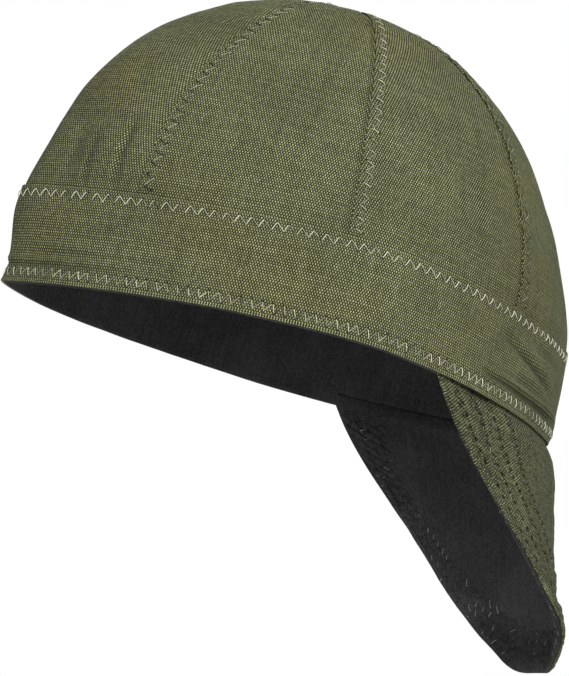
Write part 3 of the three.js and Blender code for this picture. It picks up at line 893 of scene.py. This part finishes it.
def makeBandLining():
    half = (inside["outer"] - inside["inner"]) / 2
    bottom, top = inside["belowRim"], panelFoot
    flapShare = flap["halfWidth"] / girth

    # The lining's foot rises where the flap is tucked in under it
    def levelsOf(shares, level):
        aside = np.abs(shareApart(shares, 0))
        over = 1 - smoothStep(aside, flapShare - 0.007, flapShare + 0.0005)
        start = bottom + (inside["overFlap"] - bottom) * over
        climbed = (level * form["bandHeight"] - bottom) / (top - bottom)
        return np.round((start + climbed * (top - start)) / form["bandHeight"], 4)

    levels = np.linspace(bottom + inside["footEdge"], top, inside["rows"]) / form["bandHeight"]
    section = [(level, inside["outer"]) for level in levels[::-1]]
    section += rolledFoot(levels[0], half, inside["footEdge"], 7)
    section += [(level, inside["inner"]) for level in levels]
    section.append(section[0])
    return clothBody("bandLining", *liningGrids(section, levelsOf), True, True, blackLining)


crownLining, bandLining = makeCrownLining(), makeBandLining()
print("lining ready")


# Neck flap

# Below the hem the flap draws in for a short way, which opens a dark slit there
def slitAt(shares):
    return flap["slitDepth"] * bump((shares - flap["slitShare"]) / flap["slitHalf"])


# Places on the flap before it has thickness, from the flat cut: aside and down from the rim
def flapBase(x, drop):
    spread, swing = flap["spread"], flap["swing"]
    shares = x / girth
    aside, down = x / flap["halfWidth"], drop / flap["length"]
    rim = shellRow(shares, 0.0, 0.0)
    outward = outwardRow(shares, 0.0)
    flare = flap["flare"] + flap["sideFlare"] * aside ** 2
    draw = -flap["draw"] * aside
    dx = np.sin(draw) * drop + flap["length"] * down ** 2 * aside * (spread[0] - spread[1] * aside ** 2)
    dx -= flap["sway"] * down * flap["length"]
    swung = swing[0] * aside ** 2 * down ** 2 - swing[1] * down ** 2 + swing[2] * down ** 3
    dy = np.sin(flare) * np.cos(draw) * drop + flap["length"] * swung
    dz = -np.cos(flare) * np.cos(draw) * drop
    middle = 1 - smoothStep(np.abs(aside), 0.35, 0.75)
    for centre, half, size in flap["lobes"]:
        dy = dy + size * bump((down - centre) / half) * middle
    swell = flap["swell"] * smoothStep(drop, 0.0004, 0.005) * (1 - smoothStep(np.abs(shares), 0.085, 0.115))
    swell = swell - slitAt(shares) * (1 - smoothStep(drop, 0.002, 0.012))
    return rim + np.stack([dx, dy, dz], 1) + outward * np.reshape(swell, (-1, 1)), outward


def flapAt(x, drop, out):
    base, outward = flapBase(x, drop)
    step = 0.0005
    around = flapBase(x + step, drop)[0] - flapBase(x - step, drop)[0]
    down = flapBase(x, drop + step)[0] - flapBase(x, drop - step)[0]
    normal = unit(np.cross(around, down))
    normal *= np.sign((normal * outward).sum(1, keepdims=True))
    blend = smoothStep(drop, 0.0, 0.010)[:, None]
    direction = unit(outward * (1 - blend) + normal * blend)
    return base + outward * flap["outer"] + direction * np.reshape(out, (-1, 1)), direction


def flapOutline(x):
    aside = np.minimum(np.abs(x) / flap["halfWidth"], 1)
    full = roundHump(x / flap["halfWidth"], flap["tipAside"], flap["tipFull"], flap["tipHalf"])
    return flap["length"] * (1 - aside ** flap["cornerRoundness"]) ** (1 / flap["tipRoundness"]) + full


edgeTurn = np.linspace(-1, 1, 4001)
edgeX = flap["halfWidth"] * np.sign(edgeTurn) * (1 - (1 - np.abs(edgeTurn)) ** 2.2)
edgeLine = np.stack([edgeX, flapOutline(edgeX)], 1)
edgeLength = np.concatenate([[0], np.cumsum(np.linalg.norm(np.diff(edgeLine, axis=0), axis=1))])
edgeEven = np.linspace(0, edgeLength[-1], 900)
edgePoints = np.stack([np.interp(edgeEven, edgeLength, edgeLine[:, k]) for k in (0, 1)], 1)


# Distance from the flap's edge and place along it, in the flat cut
def fromEdge(x, drop):
    place = np.stack([x, drop], 1)
    apart = np.linalg.norm(place[:, None] - edgePoints[None], axis=2)
    nearest = apart.argmin(1)
    return apart[np.arange(len(x)), nearest], edgeEven[nearest]


# Stitch periods along the nearest quilting row, and the place across it; every other row is turned
def quiltPlace(distance, along, quilt):
    rowsIn = (distance - quilt["first"]) / quilt["gap"]
    nearest = np.clip(np.round(rowsIn), 0, quilt["rows"] - 1)
    across = (rowsIn - nearest) * quilt["gap"] / quilt["halfWidth"] * np.where(nearest % 2 == 0, 1, -1)
    periods = round(edgeLength[-1] / quilt["period"])
    return along / edgeLength[-1] * periods, np.clip(across, -9, 9)


def quiltRelief(distance, along, x, drop, quilt):
    turns, across = quiltPlace(distance, along, quilt)
    dimples = 0.0
    for start, side in ((0, -1), (stitches["lead"], 1)):
        aside = shareApart(turns, start) * quilt["period"] / quilt["halfWidth"]
        dimples = dimples + np.exp(-(aside ** 2 + (across - side) ** 2) / 0.3)
    sunk = np.exp(-(across / 1.3) ** 2)
    last = quilt["first"] + (quilt["rows"] - 1) * quilt["gap"]
    inRows = smoothStep(distance, 0.0004, 0.0016) * smoothStep(distance, last + 0.8 * quilt["gap"], last)
    points = np.stack([x, drop, 0 * x], 1)
    lumps = 0.5 + 0.5 * wavesAt(points, quiltWaves)
    return quilt["depth"] * (inRows * (0.6 + 0.3 * lumps - 0.6 * sunk - 0.9 * dimples) + 0.15 * lumps)


# Both layers thin out towards the edge and the rim
def thinAt(distance, drop):
    edge = roundHump(distance, 0.0, flap["edgeThin"], flap["edgeThinReach"])
    return 1 - np.maximum(edge, flap["rimThin"] * (1 - smoothStep(drop, 0.0, flap["rimThinDrop"])))


def flapLayer(name, first, material, quilt, quiltSide, growFar, growNear):
    cloth = flap["cloth"]
    even = np.linspace(-1, 1, 2 * flap["columns"] + 1)
    xs = np.sign(even) * (1 - (1 - np.abs(even)) ** 1.8)  # columns crowd together at the ends
    grow = growFar + (growNear - growFar) * smoothStep(xs, -0.3, 0.3)
    xs *= flap["halfWidth"] + grow
    outline = flapOutline(xs * flap["halfWidth"] / (flap["halfWidth"] + grow)) + grow
    foot = cloth / 2 * (1 - flap["edgeThin"])
    turns = np.linspace(0, np.pi, 7)[1:-1]
    steps = np.linspace(0, 1, flap["rows"] + 1)
    tucked = np.linspace(flap["tuck"], 0, 5)[:-1]
    plan = []  # kind, way along it, place through the cloth (0 outer face, 1 inner face)
    plan += [("tuck", height, 0.0) for height in tucked]
    plan += [("drop", share, 0.0) for share in steps]
    plan += [("edge", math.sin(turn), (1 - math.cos(turn)) / 2) for turn in turns]
    plan += [("drop", share, 1.0) for share in steps[::-1]]
    plan += [("tuck", height, 1.0) for height in tucked[::-1]]
    plan.append(plan[0])
    grid, clothUv, seamUv, wearAndShade = [], [], [], []
    for kind, way, depth in plan:
        if kind == "tuck":
            thin = 1 - flap["rimThin"] - (flap["tuckThin"] - flap["rimThin"]) * (way / flap["tuck"]) ** 3
            out = (first - depth * cloth) * thin - slitAt(xs / girth) * (1 - way / flap["tuck"])
            row = shellRow(xs / girth, way / form["bandHeight"], out + flap["outer"])
            drop = np.full(len(xs), -way)
            distance, along = np.full(len(xs), 0.04), np.zeros(len(xs))  # off the quilting rows
        else:
            drop = way * (outline - foot) if kind == "drop" else outline - foot + way * foot
            drop = np.maximum(drop, 0)
            distance, along = fromEdge(xs, drop)
            relief = quiltRelief(distance, along, xs, drop, quilt) * smoothStep(drop, 0.002, 0.006)
            face = relief if (depth < 0.5) == (quiltSide > 0) else 0
            thin = thinAt(distance, drop)
            out = (first - depth * cloth) * thin + (face if kind == "drop" else 0) * quiltSide
            row = flapAt(xs, drop, out)[0]
        grid.append(row)
        clothUv.append(np.stack([xs, drop], 1))
        seamUv.append(np.stack(quiltPlace(distance, along, quilt), 1))
        # Real wear near the flap's edge, and a painted shadow under the hem's slit
        fromSlit = (xs / girth - flap["slitShare"]) / flap["shadowHalf"]
        shadow = (1 - smoothStep(drop, 0.0002, 0.0016)) * bump(fromSlit)
        wearAndShade.append(0.5 * np.exp(-(distance / 0.0012) ** 2) * (kind != "tuck") - shadow)
    grid, clothUv, seamUv, wearAndShade = (np.array(a) for a in (grid, clothUv, seamUv, wearAndShade))
    count = len(plan) - 1
    partner = np.array([count - 1 - k for k in range(count)] + [count - 1])
    for column in (0, -1):
        grid[:, column] = (grid[:, column] + grid[partner, column]) / 2
    return clothBody(name, grid, clothUv, seamUv, wearAndShade, True, False, material)


flapOuter = flapLayer("flapOuter", 0.0, quiltedShadedCanvas, outerQuilt, 1, 0.0, 0.0)
liningFirst = -flap["cloth"] - flap["gap"]
flapLining = flapLayer("flapLining", liningFirst, quiltedLining, innerQuilt, -1, 0.0003, -0.0008)
print("neck flap ready")


# Sewing

# Small arched threads set along guide points; each carries its direction, the way out and its length
def makeStitchTree():
    tree = bpy.data.node_groups.new("sewnStitches", "GeometryNodeTree")
    face = tree.interface
    face.new_socket("Geometry", in_out="INPUT", socket_type="NodeSocketGeometry")
    sizes = {"Stitch Length": 0.004, "Thread Radius": 0.0002, "Arch": 0.0003, "Dip": 0.0005}
    for label, value in sizes.items():
        face.new_socket(label, in_out="INPUT", socket_type="NodeSocketFloat").default_value = value
    face.new_socket("Seed", in_out="INPUT", socket_type="NodeSocketInt").default_value = 1
    face.new_socket("Thread", in_out="INPUT", socket_type="NodeSocketMaterial")
    face.new_socket("Geometry", in_out="OUTPUT", socket_type="NodeSocketGeometry")
    given, result = tree.nodes.new("NodeGroupInput").outputs, tree.nodes.new("NodeGroupOutput").inputs
    half = calc(tree, "MULTIPLY", given["Stitch Length"], 0.5)
    back = calc(tree, "MULTIPLY", half, -1.0)
    sink = calc(tree, "MULTIPLY", given["Dip"], -1.0)
    start = addNode(tree, "ShaderNodeCombineXYZ", {0: back, 2: sink}).outputs[0]
    end = addNode(tree, "ShaderNodeCombineXYZ", {0: half, 2: sink}).outputs[0]
    rise = calc(tree, "MULTIPLY", given["Arch"], 2.0)
    startArm, endArm = (addNode(tree, "ShaderNodeCombineXYZ", {0: calc(tree, "MULTIPLY", half, reach),
                                2: rise}).outputs[0] for reach in (-0.8, 0.8))
    path = addNode(tree, "GeometryNodeCurvePrimitiveBezierSegment", {"Resolution": 7, "Start": start,
                   "Start Handle": startArm, "End Handle": endArm, "End": end})
    ring = addNode(tree, "GeometryNodeCurvePrimitiveCircle", {"Resolution": 5,
                   "Radius": given["Thread Radius"]})
    thread = addNode(tree, "GeometryNodeCurveToMesh", {"Curve": path.outputs[0],
                     "Profile Curve": ring.outputs[0], "Fill Caps": True})
    smooth = addNode(tree, "GeometryNodeSetShadeSmooth", {"Geometry": thread.outputs[0]})
    outward, forward, stretch, proud = (
        addNode(tree, "GeometryNodeInputNamedAttribute", {"Name": label}, data_type=kind).outputs[0]
        for label, kind in (("outward", "FLOAT_VECTOR"), ("forward", "FLOAT_VECTOR"), ("stretch", "FLOAT"),
                            ("proud", "FLOAT")))
    turned = addNode(tree, "FunctionNodeAxesToRotation", {"Primary Axis": outward, "Secondary Axis": forward},
                     primary_axis="Z", secondary_axis="X")
    thin = addNode(tree, "FunctionNodeRandomValue", {"Seed": given["Seed"]}, data_type="FLOAT")
    thin.inputs[2].default_value, thin.inputs[3].default_value = 0.75, 1.2
    size = addNode(tree, "ShaderNodeCombineXYZ", {0: stretch, 1: thin.outputs[1], 2: proud})
    placed = addNode(tree, "GeometryNodeInstanceOnPoints", {"Points": given["Geometry"],
                     "Instance": smooth.outputs[0], "Rotation": turned.outputs[0], "Scale": size.outputs[0]})
    made = addNode(tree, "GeometryNodeRealizeInstances", {"Geometry": placed.outputs[0]})
    finished = addNode(tree, "GeometryNodeSetMaterial", {"Geometry": made.outputs[0],
                       "Material": given["Thread"]})
    tree.links.new(finished.outputs[0], result["Geometry"])
    return tree


stitchTree = makeStitchTree()


def sew(name, starts, ends, outwards, shades, proud, thread, seed, radius=0.00016, arch=0.00028, dip=0.0004):
    guide = bpy.data.meshes.new(name + "Guide")
    guide.from_pydata((starts + ends) / 2, [], [])
    forward = ends - starts
    lengths = np.linalg.norm(forward, axis=1)
    nominal = float(lengths.mean())
    for label, kind, values in (("outward", "FLOAT_VECTOR", outwards), ("forward", "FLOAT_VECTOR", forward),
                                ("stretch", "FLOAT", lengths / nominal), ("shade", "FLOAT", shades),
                                ("proud", "FLOAT", proud)):
        layer = guide.attributes.new(label, kind, "POINT")
        field = "vector" if kind == "FLOAT_VECTOR" else "value"
        layer.data.foreach_set(field, values.astype(np.float32).ravel())
    points = newObject(name + "Guide", guide)
    modifier = points.modifiers.new("stitches", "NODES")
    modifier.node_group = stitchTree
    wanted = {"Stitch Length": nominal, "Thread Radius": radius, "Arch": arch, "Dip": dip, "Seed": seed,
              "Thread": thread}
    for item in stitchTree.interface.items_tree:
        if item.in_out == "INPUT" and item.name in wanted:
            modifier[item.identifier] = wanted[item.name]
    evaluated = points.evaluated_get(bpy.context.evaluated_depsgraph_get())
    mesh = bpy.data.meshes.new_from_object(evaluated)
    mesh.name = name
    bpy.data.objects.remove(points)
    return newObject(name, mesh)


# A zigzag of threads between points on both sides of a row
def zigzag(points, outwards, shadeOf, seed):
    rng = np.random.default_rng(seed)
    starts, ends = points[:-1], points[1:]
    outwards = unit(outwards[:-1] + outwards[1:])
    legs = np.arange(len(starts))
    jitter = rng.normal(0, stitches["jitter"], starts.shape)
    steepProud = rng.uniform(*stitches["steepProud"], len(legs))
    slowProud = rng.uniform(*stitches["slowProud"], len(legs))
    proud = np.where(legs % 2 == 0, steepProud, slowProud)
    return starts + jitter, ends + jitter, outwards, np.clip(shadeOf(legs, rng), 0, 1), proud


# Where each needle turn lies, in stitch periods: the steep legs take less room than the others
def turnsAt(ticks):
    return ticks // 2 + stitches["lead"] * (ticks % 2)


def bandRow(row, periods, halfWidth, out, lifted):
    count = 2 * periods
    shares = turnsAt(np.arange(count + 1)) / periods
    side = np.where(np.arange(count + 1) % 2 == 0, -1, 1)
    points, outwards = np.empty((count + 1, 3)), np.empty((count + 1, 3))
    for s in (-1, 1):
        chosen = side == s
        height = row + s * halfWidth
        level = height / form["bandHeight"]
        lift = band["lapLift"] * lapCover(shares[chosen], level) if lifted else 0.0
        face = bandOut(shares[chosen], height, out + bandProfile(height))
        points[chosen] = shellRow(shares[chosen], level, face + lift)
        outwards[chosen] = outwardRow(shares[chosen], level)
    return points, outwards


# Painted light and shade: the steep legs lit, the slow legs in shade, with random spread
def legShade(bright, dull, spread):
    return lambda legs, rng: np.where(legs % 2 == 0, bright, dull) + rng.normal(0, spread, len(legs))


# The upper row climbs over the laps, and the hem's row doesn't
bandPoints = bandRow(seamRow, seamPeriods, -stitches["halfWidth"], band["outer"], True)
hemPoints = bandRow(band["hemRow"], hemPeriods, band["hemHalfWidth"], band["outer"], False)
bandStitches = sew("bandStitches", *zigzag(*bandPoints, legShade(0.95, 0.5, 0.2), 5), oliveThread, 5, 0.00016)
hemStitches = sew("hemStitches", *zigzag(*hemPoints, legShade(0.7, 0.35, 0.22), 6), oliveThread, 6, 0.00014)


gore = {"startAbove": 0.0012, "narrowest": 0.011}  # metres over the band, and across a panel at the top


def goreRow(number):
    heights = climb(crownLevels, lambda rise: seamAt(number, rise))
    first = form["bandHeight"] + gore["startAbove"]
    startAt = np.interp(first, [rowAt(level)[1] for level in crownLevels], heights)
    halfPeriod = stitches["period"] / 2
    ticks = np.arange(int(startAt / halfPeriod) + 1, int(heights[-1] / halfPeriod) - 3)
    points, outwards = [], []
    for tick in ticks:
        level = float(np.interp(turnsAt(tick) * stitches["period"], heights, crownLevels))
        around = aroundAt(level)
        if around / panelCount < gore["narrowest"]:
            break
        side = -1 if tick % 2 == 0 else 1
        share = np.array([seamAt(number, rowAt(level)[2]) + side * stitches["halfWidth"] / around])
        points.append(shellRow(share, level, lapOf(number)[1] * smoothStep(side, -3, 1))[0])
        outwards.append(outwardRow(share, level)[0])
    return np.array(points), np.array(outwards)


# Painted light and shade on the steep and the slow threads, seam by seam from the back round the near side
goreShades = [(0.12, 0.3), (0.75, 0.35), (0.03, 0.4), (0.03, 0.4), (0.75, 0.35), (0.12, 0.3)]
goreParts = [zigzag(*goreRow(n), legShade(*goreShades[n], 0.12), 40 + n) for n in range(panelCount)]
goreThreads = [np.concatenate(part) for part in zip(*goreParts)]
crownStitches = sew("crownStitches", *goreThreads, oliveThread, 7, 0.00014)


# Needle turns of one quilting row, the way out of the cloth, and which of them keep their distance
def quiltRow(k, quilt, layerOut, sign):
    periods = round(edgeLength[-1] / quilt["period"])
    ticks = turnsAt(np.arange(2 * periods + 1)) / periods
    along = ticks * edgeLength[-1]
    tangent = unit(np.gradient(edgePoints, edgeEven, axis=0))
    flip = 1 if k % 2 == 0 else -1
    side = np.where(np.arange(len(ticks)) % 2 == 0, -1, 1) * flip
    distance = quilt["first"] + k * quilt["gap"] + side * quilt["halfWidth"]
    edge = np.stack([np.interp(along, edgeEven, edgePoints[:, c]) for c in (0, 1)], 1)
    ahead = np.stack([np.interp(along, edgeEven, tangent[:, c]) for c in (0, 1)], 1)
    inward = np.stack([ahead[:, 1], -ahead[:, 0]], 1)
    towardsMiddle = np.array(flap["amid"]) - edge
    inward *= np.sign((inward * towardsMiddle).sum(1, keepdims=True))
    place = edge + inward * distance[:, None]
    first, last = np.nonzero(place[:, 1] > flap["sewnFrom"])[0][[0, -1]]
    place = place[first:last + 1]
    measured = fromEdge(place[:, 0], place[:, 1])[0]
    wanted = distance[first:last + 1]
    points, direction = flapAt(place[:, 0], place[:, 1], layerOut * thinAt(measured, place[:, 1]))
    return points, direction * sign, np.abs(measured - wanted) < flap["straying"]


def sewQuilt(name, quilt, layerOut, sign, shadeOf, thread, seed, radius):
    parts = []
    for k in range(quilt["rows"]):
        points, outwards, good = quiltRow(k, quilt, layerOut, sign)
        kept = good[:-1] & good[1:]
        parts.append([a[kept] for a in zigzag(points, outwards, shadeOf, seed + k)])
    return sew(name, *(np.concatenate(part) for part in zip(*parts)), thread, seed, radius, arch=0.0002)


# Painted shade on most threads, with painted light on a share of them
def rareLight(share, most):
    def shades(legs, rng):
        light = (rng.random(len(legs)) < share) & (legs % 2 == 0)
        return np.where(light, rng.uniform(0.25, most, len(legs)), rng.uniform(0, 0.1, len(legs)))
    return shades


flapStitches = sewQuilt("flapStitches", outerQuilt, 0.00005, 1, rareLight(0.35, 0.6),
                        oliveThread, 60, 0.00009)
innerFace = -2 * flap["cloth"] - flap["gap"] - 0.00005
flapLiningStitches = sewQuilt("flapLiningStitches", innerQuilt, innerFace, -1, rareLight(0.4, 0.9),
                              blackThread, 80, 0.00012)
print("sewing ready")


# Camera, light and floor

# The photograph's view in degrees, metres and pixels
view = {"azimuth": 75.470, "elevation": -11.589, "roll": 14.067, "distance": 0.900, "focalPixels": 2109.94,
        "aside": 0.007712, "above": 0.008146, "frameHeight": 676}


# Right, up and back of a camera or lamp that looks at the middle from these angles, in degrees
def aimedFrom(azimuth, elevation):
    az, el = math.radians(azimuth), math.radians(elevation)
    back = np.array([math.sin(az) * math.cos(el), -math.cos(az) * math.cos(el), math.sin(el)])
    right = unit(np.cross([0, 0, 1], back))
    return right, np.cross(back, right), back


def putAt(item, *columns):
    matrix = np.eye(4)
    matrix[:3] = np.stack(columns, 1)
    item.matrix_world = Matrix(matrix.tolist())


def makeCamera():
    right, up, back = aimedFrom(view["azimuth"], view["elevation"])
    roll = math.radians(view["roll"])
    tiltedRight = math.cos(roll) * right + math.sin(roll) * up
    tiltedUp = -math.sin(roll) * right + math.cos(roll) * up
    place = back * view["distance"] + tiltedRight * view["aside"] + tiltedUp * view["above"]
    place[1] -= form["topBeforeMiddle"]
    data = bpy.data.cameras.new("camera")
    data.sensor_width = 36
    data.lens = view["focalPixels"] * 36 / view["frameHeight"]
    data.clip_start = 0.02
    camera = newObject("camera", data)
    putAt(camera, tiltedRight, tiltedUp, back, place)
    bpy.context.scene.camera = camera


lampAim = np.array([0.0, 0.0, 0.06])
lamps = {  # azimuth, elevation, distance, size, power
    "keyLamp": (88, 25, 1.5, 0.8, 38.0),
    "topLamp": (75, 62, 1.5, 1.0, 7.0),
    "farLamp": (262, 24, 1.5, 1.0, 28.0),
}


def makeLight():
    world = bpy.data.worlds.new("studio")
    bpy.context.scene.world = world
    world.use_nodes = True
    tree = world.node_tree
    tree.nodes.clear()
    seen = addNode(tree, "ShaderNodeBackground", {"Color": (1, 1, 1, 1), "Strength": 1.0})
    light = addNode(tree, "ShaderNodeBackground", {"Color": (1, 1, 1, 1), "Strength": 0.06})
    path = addNode(tree, "ShaderNodeLightPath")
    both = addNode(tree, "ShaderNodeMixShader", {0: path.outputs["Is Camera Ray"], 1: light.outputs[0],
                   2: seen.outputs[0]})
    addNode(tree, "ShaderNodeOutputWorld", {"Surface": both.outputs[0]})
    for name, (azimuth, elevation, distance, size, power) in lamps.items():
        right, up, back = aimedFrom(azimuth, elevation)
        data = bpy.data.lights.new(name, "AREA")
        data.size, data.energy = size, power
        putAt(newObject(name, data), right, up, back, lampAim + back * distance)


ground = {"radius": 1.3, "height": -0.26, "dark": (0.80, 0.80, 0.79, 1), "light": (0.84, 0.84, 0.83, 1)}


def makeFloor():
    work = bmesh.new()
    bmesh.ops.create_circle(work, cap_ends=True, segments=96, radius=ground["radius"])
    mesh = bpy.data.meshes.new("floor")
    work.to_mesh(mesh)
    work.free()
    mesh.transform(Matrix.Translation((0, 0, ground["height"])))
    material, tree, surface = newMaterial("paleFloor", 0.8, 0.0, (1, 1, 1, 1))
    place = addNode(tree, "ShaderNodeTexCoord").outputs["Object"]
    base = mixColour(tree, noiseAt(tree, place, 3.0), ground["dark"], ground["light"])
    tree.links.new(base, surface.inputs["Base Color"])
    mesh.materials.append(material)
    floor = newObject("floor", mesh)


makeCamera()
makeLight()
makeFloor()
bpy.context.scene.view_settings.view_transform = "Standard"
bpy.context.scene.view_settings.look = "None"
print("camera, light and floor ready")


# Hide the solids that the pieces stand for, and hang the olive and black pieces on the root body

for number, piece in enumerate(capPanels):
    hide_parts(f"crown_panel_{number + 1}")
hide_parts("headband")
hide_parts("crown_lining")
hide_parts("band_lining")
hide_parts("neck_flap_outer")
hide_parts("neck_flap_lining")
olivePieces = [*capPanels, headband, flapOuter, bandStitches, hemStitches, crownStitches, flapStitches]
blackPieces = [crownLining, bandLining, flapLining, flapLiningStitches]
for piece in olivePieces + blackPieces:
    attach(piece, "root")
